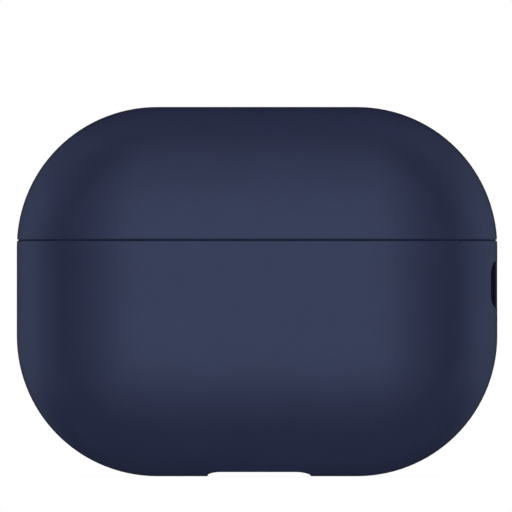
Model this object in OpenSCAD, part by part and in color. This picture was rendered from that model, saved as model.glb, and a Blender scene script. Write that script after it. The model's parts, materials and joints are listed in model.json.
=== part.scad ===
// Wireless earbuds case in a two-piece protective cover, with both earbuds stowed inside.
// The origin is at the middle of the underside, +X points to the lanyard side,
// -Y is the front, +Y is the hinge side and +Z is up. Millimetres.

/* [Cover] */
// Width of the closed cover, side to side
cover_w = 64.8; // [64.4:0.1:66]
// Depth of the closed cover, front to back
cover_d = 24.4; // [24.4:0.1:24.8]
// Height of the closed cover
cover_h = 49.8; // [49.4:0.1:51]
// Radius of the four corners seen from the front
corner_r = 18.9; // [18.6:0.1:19.2]
// Wall of the cover
cover_wall = 1.3; // [1.2:0.05:1.35]
// Height of the split between base and lid
split_z = 31.8; // [31.6:0.1:32]
// Open line between the two halves of the cover
cover_gap = 0.16; // [0.1:0.02:0.2]

/* [Openings in the cover] */
// Width of the opening under the charging port
port_window_w = 13.8; // [12.5:0.1:14]
// Depth of the opening under the charging port
port_window_d = 7; // [6:0.1:7]
// How far that opening sits to the right of the middle
port_window_shift = 0.28; // [0:0.01:0.5]
// Height of the cord slot in the right side
slot_h = 6.1; // [5.8:0.1:6.2]
// Depth of the cord slot, front to back
slot_d = 8.66; // [8.2:0.02:8.8]
// Height of the middle of the cord slot
slot_z = 25.85; // [25.7:0.05:26]
// Diameter of the opening around the setup button
button_window = 9; // [8.4:0.1:9.4]
// Width of the opening around the hinge
hinge_window_w = 51; // [50.8:0.1:51.2]
// Height of the opening around the hinge
hinge_window_h = 6.4; // [6:0.1:6.6]

/* [Case] */
// Air between the cover and the case
fit_gap = 0.05; // [0.04:0.01:0.08]
// Wall of the case
case_wall = 1.2; // [1.1:0.05:1.2]
// Open line between the case base and the case lid
case_gap = 0.2; // [0.16:0.02:0.24]

/* [Hinge] */
// Distance of the hinge axis behind the middle plane
hinge_y = 10.3; // [10.25:0.05:10.35]
// Radius of the hinge knuckles
knuckle_r = 1; // [0.9:0.05:1]
// Radius of the hinge pin
pin_r = 0.5; // [0.4:0.05:0.5]
// Air around the pin in the lid knuckles
pin_play = 0.04; // [0.02:0.01:0.06]

/* [Earbuds] */
// Distance of each earbud head from the middle
head_x = 15.5; // [15.4:0.1:15.6]
// Height of each earbud head
head_z = 31.2; // [31.1:0.1:31.3]
// Radius of the earbud head
head_r = 7.8; // [7.6:0.1:7.9]
// Distance of each stem from the middle
stem_x = 19.5; // [19.4:0.1:19.6]
// Radius of the earbud stem
stem_r = 2.9; // [2.8:0.05:2.95]
// Height of the lower end of the stem
stem_foot_z = 8; // [8:0.1:8.4]
// Downward tilt of the nozzle
nozzle_tilt = 25; // [24:1:26]

/* [Button and contacts] */
// Height of the setup button
button_z = 19.5; // [19.3:0.1:19.7]
// Radius of the setup button
button_r = 3.4; // [3.2:0.1:3.6]
// Travel of the setup button
button_travel = 0.3; // [0.2:0.05:0.3]
// Travel of the spring contact pins
pin_travel = 0.4; // [0.3:0.05:0.4]

/* [Hidden] */
$fn = 72;
far = 100;
half_w = cover_w / 2;
half_d = cover_d / 2;
arc_x = half_w - corner_r;
arc_low = corner_r;
arc_high = cover_h - corner_r;
// The roll of the rim and the shallow shoulder arc meet on the long side of a 12-35-37 triangle.
blend = (corner_r - half_d) / 10;
rim_c = 12 * blend;
rim_r = corner_r - rim_c;
shoulder_c = -35 * blend;
shoulder_r = half_d - shoulder_c;
meet = [rim_c + 6, 17.5];
reach = 40;

case_skin = cover_wall + fit_gap;
case_inner = case_skin + case_wall;
parts_skin = case_inner + 0.05;
port_window_left_r = 1.7;
port_window_right_r = 2;
slot_r = 1.75;
skirt_t = 0.3;
skirt_play = 0.05;
cover_lip_h = 0.3;

groove_r = knuckle_r + 0.15;
groove_half = 20.2;
barrel_half = 19.6;
lid_knuckle_in = 3.6;
lid_knuckle_out = 10.4;
knuckle_play = 0.1;
leaf_half = 13.5;
leaf_y = 9.1;
leaf_t = 0.5;
web_t = 0.6;
web_off = 0.35;
plate_off = 0.85;
leaf_play = 0.03;
base_leaf_z = 25.6;
lid_leaf_z = 37.4;
hinge_screw_x = 11.8;
hinge_screw_off = 4.6;
screw_hole_r = 0.53;
screw_tip_y = 10.1;

bar_half = 2.7;
bar_sink = 0.03;
bar_in_r = rim_r - cover_wall + 0.05;
bar_tongue = 0.8;
bar_tongue_half = 2.2;
bar_tongue_r = 10.3;
recess_depth = 2.45;
recess_half = 4.2;
recess_half_h = 2.85;
recess_wall = 0.7;

pad_t = 0.2;
port_w = 8.94;
port_t = 3.2;
port_len = 7.3;
port_z = 1.5;
port_play = 0.08;
port_skin = 0.3;

deck_top = 31.6;
deck_low = 30.3;
cup_play = 0.4;
cup_wall = 0.9;
well_r = 3.3;
well_wall = 0.7;
lip_h = 0.45;
lip_t = 0.8;
lip_end_y = 6;
tip_r = 5.4;
tip_room_r = 6.1;
tip_room_end = 13.4;
liner_low = 32.8;
liner_t = 1.2;

battery_size = [30, 12, 9.3];
battery_pos = [-15, -7.5, 9];
board_y = 5;
board_t = 0.6;
coil_z = 19.5;
coil_out = 10;
coil_in = 6.2;
ferrite_y = 7.2;
switch_tip_y = 6.8;
button_face_y = 10.8;
lamp_z = 24;

contact_y = 2.2;
plunger_r = 0.4;
barrel_r = 0.75;
barrel_low = 4.7;
barrel_top = 7.1;

head_in_r = 6.7;
stem_in_r = 2.2;
nozzle_r = 2.5;
nozzle_bore = 1.7;
nozzle_end = 10.8;
vent_tilt = 60;

// ---- Shared shapes -------------------------------------------------------------------

// Rim section at one inset: x runs outwards from the corner axis, y is the half depth.
module rim_section(inset) {
    for (side = [0, 1]) mirror([0, side]) intersection() {
        translate([0, shoulder_c]) circle(r = shoulder_r - inset);
        polygon([[0, 0], [rim_c, 0], meet, [0, meet[1]]]);
    }
    intersection() {
        translate([rim_c, 0]) circle(r = rim_r - inset);
        polygon([[rim_c, 0], meet, [reach, meet[1]], [reach, -meet[1]], [meet[0], -meet[1]]]);
    }
}

// The whole rounded body, shrunk evenly by the inset.
module pillow(inset) {
    translate([-arc_x, inset - half_d, arc_low])
        cube([2 * arc_x, cover_d - 2 * inset, arc_high - arc_low]);
    for (side = [0, 1]) mirror([side, 0, 0]) {
        translate([arc_x, 0, arc_low]) linear_extrude(arc_high - arc_low) rim_section(inset);
        translate([arc_x, 0, arc_high]) rotate([90, 0, 0]) rotate_extrude(angle = 90) rim_section(inset);
        translate([arc_x, 0, arc_low]) rotate([90, 90, 0]) rotate_extrude(angle = 90) rim_section(inset);
    }
    translate([arc_x, 0, arc_high]) rotate([0, -90, 0]) linear_extrude(2 * arc_x) rim_section(inset);
    translate([-arc_x, 0, arc_low]) rotate([0, 90, 0]) linear_extrude(2 * arc_x) rim_section(inset);
}

module shell(outer_inset, inner_inset) {
    difference() {
        pillow(outer_inset);
        pillow(inner_inset);
    }
}

module below(z) {
    translate([-far / 2, -far / 2, z - far]) cube(far);
}

module above(z) {
    translate([-far / 2, -far / 2, z]) cube(far);
}

module centred_box(x, y, z, low) {
    translate([-x / 2, -y / 2, low]) cube([x, y, z]);
}

// Two squares and four circles, so that the corners stay true arcs.
module rounded_rect(w, h, r) {
    square([w - 2 * r, h], center = true);
    square([w, h - 2 * r], center = true);
    for (sx = [-1, 1], sy = [-1, 1])
        translate([sx * (w / 2 - r), sy * (h / 2 - r)]) circle(r = r);
}

module stadium(w, h) {
    square([w - h, h], center = true);
    for (side = [-1, 1]) translate([side * (w - h) / 2, 0]) circle(d = h);
}

// Straight bar of a flat shape along Y, from y_low to y_high.
module along_y(y_low, y_high) {
    translate([0, y_high, 0]) rotate([90, 0, 0]) linear_extrude(y_high - y_low) children();
}

module rod_y(r, y_low, y_high) {
    along_y(y_low, y_high) circle(r = r);
}

module rod_x(r, x_low, x_high) {
    translate([x_low, 0, 0]) rotate([0, 90, 0]) cylinder(r = r, h = x_high - x_low);
}

module both_sides() {
    children();
    mirror([1, 0, 0]) children();
}

module at_hinge() {
    translate([0, hinge_y, split_z]) children();
}

// Ball whose seam lies to the back, clear of every cut through it.
module ball(r) {
    rotate([0, 0, 90]) sphere(r = r);
}

// Frame of one nozzle: +Z runs from the middle of the head out through the nozzle.
module at_nozzle() {
    translate([head_x, 0, head_z]) rotate([0, -90 - nozzle_tilt, 0]) children();
}

// Frame of one vent: +Z runs from the middle of the head out through the vent.
module at_vent() {
    translate([head_x, 0, head_z]) rotate([0, vent_tilt, 0]) children();
}

module hinge_groove() {
    at_hinge() rod_x(groove_r, -groove_half, groove_half);
}

// Pilot holes of the two hinge screws at one height above or below the hinge axis.
module screw_holes(off) {
    both_sides() translate([hinge_screw_x, 0, split_z + off])
        rod_y(screw_hole_r, leaf_y - 0.1, screw_tip_y + 0.1);
}

// ---- Cover ---------------------------------------------------------------------------

module hinge_window() {
    translate([0, 0, split_z])
        along_y(hinge_y - 2.6, half_d + 1) stadium(hinge_window_w, hinge_window_h);
}

// Opening under the port: a short-cornered left end and a rounder right end.
module port_window() {
    w = port_window_w / 2;
    h = port_window_d;
    shift = (port_window_left_r + port_window_right_r) / 2;
    translate([port_window_shift, 0, -1]) linear_extrude(4) {
        translate([-w / 2 + shift / 2, 0]) rounded_rect(w + shift, h, port_window_left_r);
        translate([w / 2 - shift / 2, 0]) rounded_rect(w + shift, h, port_window_right_r);
    }
}

module cord_slot() {
    translate([half_w - 6, 0, slot_z]) rotate([90, 0, 90])
        linear_extrude(8) rounded_rect(slot_d, slot_h, slot_r);
}

// Blind pockets that hold the tongues of the lanyard bar, open to the inside of the wall.
module bar_pockets() {
    pocket_h = slot_h + 2 * bar_tongue + 0.1;
    intersection() {
        translate([arc_x + rim_c, 0, slot_z - pocket_h / 2]) cylinder(r = bar_tongue_r + 0.05, h = pocket_h);
        translate([half_w - 4, -bar_tongue_half - 0.05, 0]) cube([4, 2 * bar_tongue_half + 0.1, far]);
    }
}

// The lip on the inner half of the base's edge stands up behind the skirt of the lid.
module cover_base() {
    color("#2b3154") difference() {
        union() {
            intersection() {
                pillow(0);
                below(split_z - cover_gap / 2);
            }
            intersection() {
                pillow(skirt_t + skirt_play);
                below(split_z + cover_lip_h);
            }
        }
        pillow(cover_wall);
        hinge_window();
        port_window();
        cord_slot();
        bar_pockets();
        translate([0, 0, button_z]) rod_y(button_window / 2, half_d - 3, half_d + 1);
    }
}

module pad_zone(margin) {
    along_y(-half_d, -5) for (x = [-9, 9]) translate([x, split_z + 7])
        rounded_rect(14 - 2 * margin, 5 - 2 * margin, 1);
}

module cover_lid() {
    color("#2b3154") difference() {
        intersection() {
            shell(0, cover_wall);
            above(split_z + cover_gap / 2);
        }
        intersection() {
            pillow(skirt_t);
            below(split_z + cover_lip_h + skirt_play + cover_gap / 2);
        }
        hinge_window();
        intersection() {
            shell(cover_wall - pad_t, cover_wall + 0.5);
            pad_zone(0);
        }
    }
}

module lanyard_bar() {
    tongue_h = slot_h + 2 * bar_tongue;
    color("#1a1c2c") difference() {
        union() {
            intersection() {
                translate([arc_x + rim_c, 0, slot_z - slot_h / 2 + 0.03])
                    cylinder(r = rim_r - bar_sink, h = slot_h - 0.06);
                translate([half_w - 4, -bar_half, 0]) cube([5, 2 * bar_half, far]);
            }
            intersection() {
                translate([arc_x + rim_c, 0, slot_z - tongue_h / 2]) cylinder(r = bar_tongue_r, h = tongue_h);
                translate([half_w - 4, -bar_tongue_half, 0]) cube([5, 2 * bar_tongue_half, far]);
            }
        }
        translate([arc_x + rim_c, 0, slot_z - 10]) cylinder(r = bar_in_r, h = 20);
    }
}

module lid_adhesive_pads() {
    color("#b9bcc4") intersection() {
        shell(cover_wall - pad_t + 0.02, cover_wall + fit_gap - 0.02);
        pad_zone(0.15);
    }
}

// ---- Case ----------------------------------------------------------------------------

module cord_recess(margin, height_margin) {
    translate([half_w - case_skin - recess_depth, 0, slot_z])
        translate([-margin, -recess_half - margin, -recess_half_h - height_margin])
            cube([recess_depth + 4, 2 * (recess_half + margin), 2 * (recess_half_h + height_margin)]);
}

module case_base_shell() {
    color("#23273f") difference() {
        intersection() {
            union() {
                shell(case_skin, case_inner);
                intersection() {
                    pillow(case_skin + 0.6);
                    cord_recess(recess_wall, recess_wall);
                }
            }
            below(split_z - case_gap / 2);
        }
        cord_recess(0, 0);
        hinge_groove();
        translate([0, 0, -1]) linear_extrude(8) stadium(port_w + 2 * port_play, port_t + 2 * port_play);
        translate([0, 0, button_z]) rod_y(button_r + 0.06, half_d - 5, half_d);
        translate([0, 0, lamp_z]) rod_y(0.95, -half_d, -8);
        screw_holes(-hinge_screw_off);
    }
}

module case_lid_shell() {
    color("#23273f") difference() {
        intersection() {
            shell(case_skin, case_inner);
            above(split_z + case_gap / 2);
        }
        hinge_groove();
        screw_holes(hinge_screw_off);
        translate([-leaf_half - leaf_play, leaf_y - 1, split_z])
            cube([2 * (leaf_half + leaf_play), leaf_t + 1 + leaf_play, lid_leaf_z + leaf_play - split_z]);
    }
}

// Bowl around one earbud head, one stem well and one ear tip room, grown by the wall.
module earbud_room(wall) {
    translate([head_x, 0, head_z]) ball(head_r + cup_play + wall);
    translate([stem_x, 0, stem_foot_z - cup_play - wall]) cylinder(r = well_r + wall, h = 30);
    at_nozzle() cylinder(r = tip_room_r + wall, h = tip_room_end + wall);
}

// Low lip that stands up inside the wall of the lid, all round except at the hinge.
module seam_lip() {
    intersection() {
        shell(parts_skin, parts_skin + lip_t);
        translate([-half_w, -half_d, deck_low])
            cube([cover_w, half_d + lip_end_y, split_z + lip_h - deck_low]);
    }
}

module cradle_insert() {
    color("#1d2034") difference() {
        union() {
            seam_lip();
            intersection() {
                pillow(parts_skin);
                below(deck_top);
                union() {
                    centred_box(cover_w, cover_d, deck_top - deck_low, deck_low);
                    both_sides() earbud_room(cup_wall);
                }
            }
        }
        both_sides() earbud_room(0);
        translate([-barrel_half - 1, leaf_y - 0.1, deck_low - 8]) cube([2 * barrel_half + 2, 6, 12]);
        cord_recess(recess_wall + 0.1, recess_wall + 0.1);
        both_sides() for (side = [-1, 1])
            translate([stem_x, side * contact_y, 5]) cylinder(r = plunger_r + 0.1, h = 5);
    }
}

module lid_liner() {
    color("#1d2034") difference() {
        intersection() {
            pillow(parts_skin);
            above(liner_low);
            union() {
                centred_box(cover_w, cover_d, liner_t, liner_low);
                both_sides() translate([head_x, 0, head_z]) ball(head_r + cup_play + cup_wall);
            }
        }
        both_sides() translate([head_x, 0, head_z]) ball(head_r + cup_play);
        translate([-barrel_half - 1, leaf_y - 0.1, liner_low - 1]) cube([2 * barrel_half + 2, 6, 8]);
    }
}

// ---- Hinge ---------------------------------------------------------------------------

// One knuckle without its bore. side is 1 for a leaf above the axis and -1 for one below it.
module knuckle(from_x, to_x, side) {
    at_hinge() rod_x(knuckle_r, from_x, to_x);
    web_to = min(to_x, leaf_half);
    at_hinge() translate([from_x, leaf_y - hinge_y, side * (web_off + web_t / 2) - web_t / 2])
        cube([web_to - from_x, hinge_y - leaf_y, web_t]);
}

// Flat plate of a leaf, kept clear of the other leaf's knuckles.
module leaf_plate(low, high) {
    translate([-leaf_half, leaf_y, low]) cube([2 * leaf_half, leaf_t, high - low]);
}

module base_hinge_leaf() {
    color("#9a9da6") difference() {
        union() {
            knuckle(knuckle_play - lid_knuckle_in, lid_knuckle_in - knuckle_play, -1);
            both_sides() knuckle(lid_knuckle_out + knuckle_play, barrel_half, -1);
            leaf_plate(base_leaf_z, split_z - plate_off);
        }
        at_hinge() rod_x(pin_r + 0.01, -far / 2, far / 2);
        screw_holes(-hinge_screw_off);
    }
}

module lid_hinge_leaf() {
    color("#9a9da6") difference() {
        union() {
            both_sides() knuckle(lid_knuckle_in, lid_knuckle_out, 1);
            leaf_plate(split_z + plate_off, lid_leaf_z);
        }
        at_hinge() rod_x(pin_r + pin_play, -far / 2, far / 2);
        screw_holes(hinge_screw_off);
    }
}

module hinge_pin() {
    color("#c3c5cb") at_hinge() rod_x(pin_r, 0.1 - barrel_half, barrel_half - 0.1);
}

module hinge_screw() {
    difference() {
        union() {
            rod_y(0.9, leaf_y - 0.5, leaf_y - 0.01);
            rod_y(0.5, leaf_y - 0.1, screw_tip_y);
        }
        along_y(leaf_y - 0.7, leaf_y - 0.25) circle(r = 0.4, $fn = 6);
    }
}

module base_hinge_screws() {
    color("#8d9098") both_sides()
        translate([hinge_screw_x, 0, split_z - hinge_screw_off]) hinge_screw();
}

module lid_hinge_screws() {
    color("#8d9098") both_sides()
        translate([hinge_screw_x, 0, split_z + hinge_screw_off]) hinge_screw();
}

// ---- Magnets -------------------------------------------------------------------------

module closure_magnet(low) {
    both_sides() translate([2.5, -9.3, low]) cube([5, 1.4, 1.6]);
}

module base_closure_magnets() {
    color("#b4b6bc") closure_magnet(deck_low - 1.65);
}

module lid_closure_magnets() {
    color("#b4b6bc") closure_magnet(liner_low + liner_t + 0.05);
}

module earbud_holding_magnets() {
    color("#b4b6bc") both_sides()
        translate([stem_x - 1.2, well_r + well_wall + 0.35, 10]) cube([2.4, 1.8, 5]);
}

// ---- Power and electronics -----------------------------------------------------------

module battery() {
    color("#3c4048") translate(battery_pos) cube(battery_size);
}

module main_board() {
    color("#1f5a3c") {
        translate([-13.5, board_y, 9.2]) cube([27, board_t, 10.8]);
        translate([-3.3, board_y, 19.5]) cube([6.6, board_t, 2.8]);
    }
}

module main_board_chips() {
    color("#17181c") {
        translate([-11, board_y + board_t, 11]) cube([6, 0.9, 6]);
        translate([5, board_y + board_t, 11.5]) cube([5, 0.8, 5]);
        translate([-2.2, board_y + board_t, 10.5]) cube([4, 0.7, 3]);
    }
}

module port_board() {
    color("#1f5a3c") translate([-8, port_t / 2 + 0.03, 3.7]) cube([16, 0.6, 5.1]);
}

module port_connector_shell() {
    color("#b8babf") translate([0, 0, port_z]) difference() {
        linear_extrude(port_len) stadium(port_w, port_t);
        translate([0, 0, -1]) linear_extrude(port_len)
            stadium(port_w - 2 * port_skin, port_t - 2 * port_skin);
    }
}

module port_connector_tongue() {
    color("#17181c") {
        centred_box(6.6, 0.7, port_len - 2, port_z + 1);
        translate([0, 0, port_z + port_len - 2.25]) linear_extrude(1.2)
            stadium(port_w - 2 * port_skin - 0.04, port_t - 2 * port_skin - 0.04);
    }
}

module lamp_flex_cable() {
    color("#a4672c") {
        translate([5.5, -7.9, 8.6]) cube([2, 0.15, 16.4]);
        translate([-1, -7.9, lamp_z - 1]) cube([8, 0.15, 2]);
        translate([5.5, -7.9, 8.6]) cube([2, 9.5, 0.15]);
    }
}

module port_flex_cable() {
    color("#a4672c") {
        translate([-7.5, port_t / 2 + 0.65, 8.4]) cube([2, 2.65, 0.15]);
        translate([-7.5, 4.75, 8.4]) cube([2, 0.15, 3.6]);
    }
}

module charging_coil() {
    color("#b5652f") translate([0, 0, coil_z]) difference() {
        rod_y(coil_out, ferrite_y + 0.45, ferrite_y + 1.05);
        rod_y(coil_in, ferrite_y, ferrite_y + 2);
    }
}

module coil_ferrite_sheet() {
    color("#33343a") translate([0, 0, coil_z]) difference() {
        rod_y(coil_out + 0.2, ferrite_y, ferrite_y + 0.4);
        rod_y(1.5, ferrite_y - 1, ferrite_y + 1);
    }
}

module setup_switch() {
    color("#c9cacd") translate([0, 0, button_z]) {
        translate([-1.6, board_y + board_t, -1.6]) cube([3.2, 0.9, 3.2]);
        rod_y(0.8, board_y + board_t + 0.5, switch_tip_y);
    }
}

module setup_button() {
    color("#2f3553") translate([0, 0, button_z]) {
        rod_y(button_r, 9, button_face_y);
        rod_y(button_r + 0.8, 8.7, 9.25);
        rod_y(1, switch_tip_y + button_travel + 0.02, 9);
    }
}

module status_lamp() {
    color("#e9e6da") translate([-0.8, -8.75, lamp_z - 0.8]) cube([1.6, 0.8, 1.6]);
}

module status_light_pipe() {
    color("#d7dbe2") translate([0, 0, lamp_z]) rod_y(0.9, -10.7, -8.8);
}

module contact_barrels() {
    color("#c8a24a") both_sides() for (side = [-1, 1]) translate([stem_x, side * contact_y, 0]) difference() {
        translate([0, 0, barrel_low]) cylinder(r = barrel_r, h = barrel_top - 0.45 - barrel_low);
        translate([0, 0, barrel_low + 0.4]) cylinder(r = plunger_r + 0.04, h = 5);
    }
}

module contact_pins() {
    color("#d8b35a") for (side = [-1, 1]) translate([stem_x, side * contact_y, 0])
        translate([0, 0, barrel_low + 0.45 + pin_travel])
            cylinder(r = plunger_r, h = stem_foot_z - 0.02 - barrel_low - 0.45 - pin_travel);
}

module right_contact_pins() {
    contact_pins();
}

module left_contact_pins() {
    mirror([1, 0, 0]) contact_pins();
}

// ---- Earbuds (drawn on the right side, mirrored for the left) --------------------------

module earbud_housing() {
    color("#262a42") difference() {
        union() {
            translate([head_x, 0, head_z]) ball(head_r);
            translate([stem_x, 0, stem_foot_z + 0.5]) cylinder(r = stem_r, h = head_z - stem_foot_z - 0.5);
            at_nozzle() cylinder(r = nozzle_r, h = nozzle_end);
        }
        translate([head_x, 0, head_z]) ball(head_in_r);
        translate([stem_x, 0, stem_foot_z + 1.2]) cylinder(r = stem_in_r, h = head_z - stem_foot_z - 1.2);
        at_nozzle() cylinder(r = nozzle_bore, h = nozzle_end + 1);
        at_vent() translate([0, 0, head_r - 0.6]) cylinder(r = 1.9, h = 3);
    }
}

module ear_tip() {
    color("#2c2f40") at_nozzle() rotate_extrude() difference() {
        union() {
            translate([nozzle_r + 0.02, 8.3]) square([0.7, 3.5]);
            intersection() {
                translate([0, 8.2]) circle(r = tip_r);
                translate([1.8, 8.2]) square([tip_r, tip_r]);
            }
        }
        intersection() {
            translate([0, 8.2]) circle(r = tip_r - 0.6);
            translate([nozzle_r + 0.6, 8]) square([tip_r, tip_r - 1.6]);
        }
        translate([0, 8]) square([nozzle_r + 0.02, nozzle_end - 7.9]);
    }
}

module nozzle_mesh() {
    color("#55585f") at_nozzle() translate([0, 0, nozzle_end - 0.5])
        cylinder(r = nozzle_bore - 0.03, h = 0.25);
}

module vent_mesh() {
    color("#101116") at_vent() translate([0, 0, head_r - 0.58]) cylinder(r = 1.85, h = 0.3);
}

module driver() {
    color("#6f6a66") at_nozzle() translate([0, 0, 1]) cylinder(r = 5, h = 3);
}

module earbud_cell() {
    color("#a8abb2") at_nozzle() translate([0, 0, -3.6]) cylinder(r = 4.9, h = 3.2);
}

module stem_board() {
    color("#1f5a3c") translate([stem_x - 1.6, -0.25, stem_foot_z + 1.6]) cube([3.2, 0.5, 13]);
}

module stem_contacts() {
    color("#c8a24a") translate([stem_x, 0, stem_foot_z]) difference() {
        cylinder(r = stem_r - 0.1, h = 0.46);
        translate([0, 0, -1]) cylinder(r = 1.4, h = 3);
        translate([-5, -0.35, -1]) cube([10, 0.7, 3]);
    }
}

module one_earbud_piece(piece) {
    if (piece == "earbud_housing") earbud_housing();
    if (piece == "ear_tip") ear_tip();
    if (piece == "nozzle_mesh") nozzle_mesh();
    if (piece == "vent_mesh") vent_mesh();
    if (piece == "driver") driver();
    if (piece == "earbud_cell") earbud_cell();
    if (piece == "stem_board") stem_board();
    if (piece == "stem_contacts") stem_contacts();
}

module right_side(piece) {
    one_earbud_piece(piece);
}

module left_side(piece) {
    mirror([1, 0, 0]) one_earbud_piece(piece);
}

// ---- Nodes ---------------------------------------------------------------------------

cover_base();
cover_lid();
lanyard_bar();
lid_adhesive_pads();
case_base_shell();
case_lid_shell();
lid_liner();
cradle_insert();
base_hinge_leaf();
lid_hinge_leaf();
hinge_pin();
base_hinge_screws();
lid_hinge_screws();
base_closure_magnets();
lid_closure_magnets();
earbud_holding_magnets();
battery();
main_board();
main_board_chips();
port_board();
port_connector_shell();
port_connector_tongue();
lamp_flex_cable();
port_flex_cable();
charging_coil();
coil_ferrite_sheet();
setup_button();
setup_switch();
status_lamp();
status_light_pipe();
contact_barrels();
left_contact_pins();
right_contact_pins();
left_side("earbud_housing");  // left_earbud_housing
right_side("earbud_housing");  // right_earbud_housing
left_side("ear_tip");  // left_ear_tip
right_side("ear_tip");  // right_ear_tip
left_side("nozzle_mesh");  // left_nozzle_mesh
right_side("nozzle_mesh");  // right_nozzle_mesh
left_side("vent_mesh");  // left_vent_mesh
right_side("vent_mesh");  // right_vent_mesh
left_side("driver");  // left_driver
right_side("driver");  // right_driver
left_side("earbud_cell");  // left_earbud_cell
right_side("earbud_cell");  // right_earbud_cell
left_side("stem_board");  // left_stem_board
right_side("stem_board");  // right_stem_board
left_side("stem_contacts");  // left_stem_contacts
right_side("stem_contacts");  // right_stem_contacts
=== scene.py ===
"""Looks of a wireless earbuds case in its two-piece cover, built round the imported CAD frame.

Shapes are worked out in millimetres and become metres when a mesh is made.
"""
import json
import math

import bmesh
import bpy
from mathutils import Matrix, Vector


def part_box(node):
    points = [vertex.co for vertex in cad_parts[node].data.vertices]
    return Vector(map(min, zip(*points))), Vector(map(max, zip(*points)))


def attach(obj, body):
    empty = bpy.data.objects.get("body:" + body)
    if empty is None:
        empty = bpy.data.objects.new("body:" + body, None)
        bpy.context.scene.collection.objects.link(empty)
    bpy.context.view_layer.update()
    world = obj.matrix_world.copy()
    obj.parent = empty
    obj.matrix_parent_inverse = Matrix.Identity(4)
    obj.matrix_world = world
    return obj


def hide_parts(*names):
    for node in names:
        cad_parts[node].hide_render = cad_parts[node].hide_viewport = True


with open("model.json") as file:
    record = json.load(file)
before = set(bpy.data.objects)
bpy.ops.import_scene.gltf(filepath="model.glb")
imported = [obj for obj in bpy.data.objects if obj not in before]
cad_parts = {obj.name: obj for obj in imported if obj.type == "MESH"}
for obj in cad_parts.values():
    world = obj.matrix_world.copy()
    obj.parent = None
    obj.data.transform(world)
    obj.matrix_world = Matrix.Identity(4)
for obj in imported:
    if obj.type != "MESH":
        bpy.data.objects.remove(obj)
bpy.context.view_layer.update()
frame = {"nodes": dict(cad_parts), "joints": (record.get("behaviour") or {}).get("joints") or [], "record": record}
NODES = frame["nodes"]
JOINTS = {joint["name"]: joint for joint in frame["joints"]}
MM = 0.001


def mm_box(node):
    """Lowest and highest corner of a CAD node, in millimetres."""
    low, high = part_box(node)
    return low / MM, high / MM


def centre_of(node):
    low, high = mm_box(node)
    return (low + high) / 2


# ---- Driving sizes ---------------------------------------------------------------------
HALF_W = mm_box("cover_base")[1].x
HALF_D = -mm_box("cover_base")[0].y
HEIGHT = mm_box("cover_lid")[1].z
SPLIT = JOINTS["lid_hinge"]["pos_m"][2] / MM
HINGE_Y = JOINTS["lid_hinge"]["pos_m"][1] / MM
COVER_GAP = 2 * (mm_box("cover_lid")[0].z - SPLIT)
COVER_WALL = 1.3
CORNER_R = 18.9

# The roll of the rim and the shallow shoulder arc meet on the long side of a 12-35-37 triangle.
BLEND = (CORNER_R - HALF_D) / 10
RIM_C = 12 * BLEND
RIM_R = CORNER_R - RIM_C
SHOULDER_C = 35 * BLEND
SHOULDER_R = HALF_D + SHOULDER_C
TILT = math.atan2(12, 35)
ARC_X = HALF_W - CORNER_R
ARC_LOW = CORNER_R
ARC_HIGH = HEIGHT - CORNER_R

SHOULDER_STEPS = 8
RIM_STEPS = 40
CORNER_STEPS = 30
LONG_STEPS = 16
SHORT_STEPS = 8

# Which surface a face belongs to. Booleans carry these numbers over as material indices.
OUTER, INNER, EDGE = 0, 1, 2
SURFACES = 3


# ---- Mesh helpers ----------------------------------------------------------------------
class Shape:
    """Points, faces and the surface number of each face, in millimetres."""

    def __init__(self):
        self.points, self.faces, self.kinds = [], [], []

    def ring(self, points):
        first = len(self.points)
        self.points.extend(Vector(p) for p in points)
        return list(range(first, len(self.points)))

    def face(self, corners, kind=EDGE):
        self.faces.append(tuple(corners))
        self.kinds.append(kind)

    def add(self, points, faces, kind):
        first = len(self.points)
        self.points.extend(points)
        for f in faces:
            self.face([first + i for i in f], kind)
        return first

    def bridge(self, a, b, kind=EDGE):
        """Quads between two closed rings of equal length."""
        for i in range(len(a)):
            j = (i + 1) % len(a)
            self.face((a[i], a[j], b[j], b[i]), kind)

    def zip(self, a, b, angle, kind=EDGE):
        """Triangles between two closed rings of any length, matched by an angle round their middle."""
        a, b = (self.by_angle(ring, angle) for ring in (a, b))
        angles_a, angles_b = ([angle(self.points[i]) for i in ring] + [10.0] for ring in (a, b))
        i = j = 0
        while i < len(a) or j < len(b):
            p, q = a[i % len(a)], b[j % len(b)]
            step_a = j >= len(b) or (i < len(a) and angles_a[i + 1] <= angles_b[j + 1])
            if step_a:
                i += 1
                self.face((p, a[i % len(a)], q), kind)
            else:
                j += 1
                self.face((p, b[j % len(b)], q), kind)

    def by_angle(self, ring, angle):
        values = [angle(self.points[i]) for i in ring]
        start = values.index(min(values))
        ring = ring[start:] + ring[:start]
        rising = angle(self.points[ring[1]]) < angle(self.points[ring[-1]])
        return ring if rising else [ring[0]] + ring[:0:-1]

    def object(self, name):
        mesh = bpy.data.meshes.new(name)
        mesh.from_pydata([p * MM for p in self.points], [], self.faces)
        mesh.polygons.foreach_set("material_index", self.kinds)
        bm = bmesh.new()
        bm.from_mesh(mesh)
        bmesh.ops.remove_doubles(bm, verts=bm.verts, dist=1e-8)
        bmesh.ops.recalc_face_normals(bm, faces=bm.faces)
        bm.to_mesh(mesh)
        bm.free()
        return link(name, mesh)


def link(name, mesh):
    obj = bpy.data.objects.new(name, mesh)
    bpy.context.scene.collection.objects.link(obj)
    return obj


def freeze(obj):
    """Bakes the modifiers of an object into its mesh."""
    graph = bpy.context.evaluated_depsgraph_get()
    mesh = bpy.data.meshes.new_from_object(obj.evaluated_get(graph))
    obj.modifiers.clear()
    obj.data = mesh
    return obj


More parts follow.
